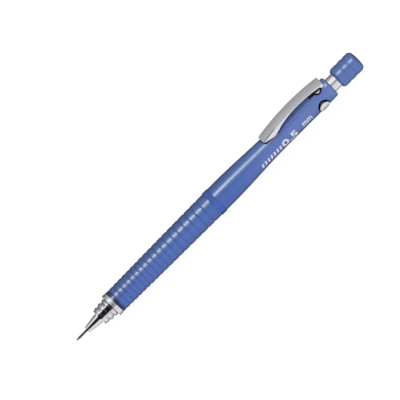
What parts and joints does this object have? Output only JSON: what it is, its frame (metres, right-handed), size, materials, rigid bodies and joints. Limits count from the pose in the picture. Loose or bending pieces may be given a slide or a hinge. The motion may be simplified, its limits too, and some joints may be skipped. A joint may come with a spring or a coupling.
{
  "type": "mechanical pencil",
  "caption": "Slim knock-button mechanical pencil with a metal nose, grooved blue barrel, arched pocket clip and clutch lead feed.",
  "frame": {"origin": "centre of the lead sleeve's front opening", "axes": "+X along the pencil from the writing end to the knock button, +Z towards the clip, +Y completes the right-handed frame"},
  "size_m": [0.1463, 0.011, 0.0131],
  "materials": {
    "graphite": "satin grey-black lead",
    "steel_tube": "drawn steel",
    "spring_steel": "drawn wire",
    "chrome": "bright plated, fine turning marks",
    "clip_steel": "brushed along its length, bright edges",
    "brass": "turned",
    "retainer_rubber": "matte",
    "eraser_rubber": "matte white",
    "cup_aluminium": "satin",
    "inner_plastic": "moulded, slightly clear",
    "tube_plastic": "smooth extruded tube",
    "blue_plastic": "polished, slightly clear blue"
  },
  "bodies": {
    "barrel": {"barrel": "blue_plastic", "rear_bush": "blue_plastic", "clip_band": "chrome", "clutch_sleeve": "inner_plastic", "return_spring": "spring_steel"},
    "push_assembly": {"knock_pipe": "chrome", "lead_tube": "tube_plastic", "tube_coupler": "inner_plastic", "chuck": "brass", "spare_leads": "graphite"},
    "clutch_ring_body": {"clutch_ring": "brass"},
    "lead_body": {"lead": "graphite"},
    "cap": {"push_cap": "blue_plastic"},
    "eraser_unit": {"eraser": "eraser_rubber", "eraser_cup": "cup_aluminium", "cleaning_pin": "steel_tube"},
    "clip": {"clip": "clip_steel"},
    "nose_slide": {"lead_retainer": "retainer_rubber"},
    "nose": {"tip_cone": "chrome", "lead_sleeve": "steel_tube"}
  },
  "joints": [
    {"name": "knock", "type": "slide", "parent": "barrel", "child": "push_assembly", "axis": [-1, 0, 0], "range_m": [0, 0.0029], "stiffness_N_per_m": 1200, "deforming": ["return_spring"]},
    {"name": "clutch_ring_slide", "type": "slide", "parent": "barrel", "child": "clutch_ring_body", "axis": [-1, 0, 0], "range_m": [0, 0.0012]},
    {"name": "lead_feed", "type": "slide", "parent": "clutch_ring_body", "child": "lead_body", "axis": [-1, 0, 0], "range_m": [-0.001, 0.005]},
    {"name": "cap_pull", "type": "slide", "parent": "push_assembly", "child": "cap", "axis": [1, 0, 0], "range_m": [0, 0.045]},
    {"name": "eraser_pull", "type": "slide", "parent": "push_assembly", "child": "eraser_unit", "axis": [1, 0, 0], "range_m": [0, 0.027]},
    {"name": "clip_flex", "type": "hinge", "parent": "barrel", "child": "clip", "pos_m": [0.1276, 0, 0.00487], "axis": [0, 1, 0], "range_deg": [0, 4.5], "stiffness_Nm_per_rad": 0.12},
    {"name": "nose_advance", "type": "slide", "parent": "barrel", "child": "nose_slide", "axis": [-1, 0, 0], "range_m": [0, 0.0061]},
    {"name": "nose_turn", "type": "hinge", "parent": "nose_slide", "child": "nose", "pos_m": [0.0187, 0, 0], "axis": [-1, 0, 0], "range_deg": [0, 2930]}
  ],
  "couplings": [
    {"joint": "clutch_ring_slide", "follows": "knock", "ratio": 0.4},
    {"joint": "eraser_pull", "follows": "cap_pull", "ratio": 0.6},
    {"joint": "nose_turn", "follows": "nose_advance", "rad_per_m": 8377.6}
  ]
}
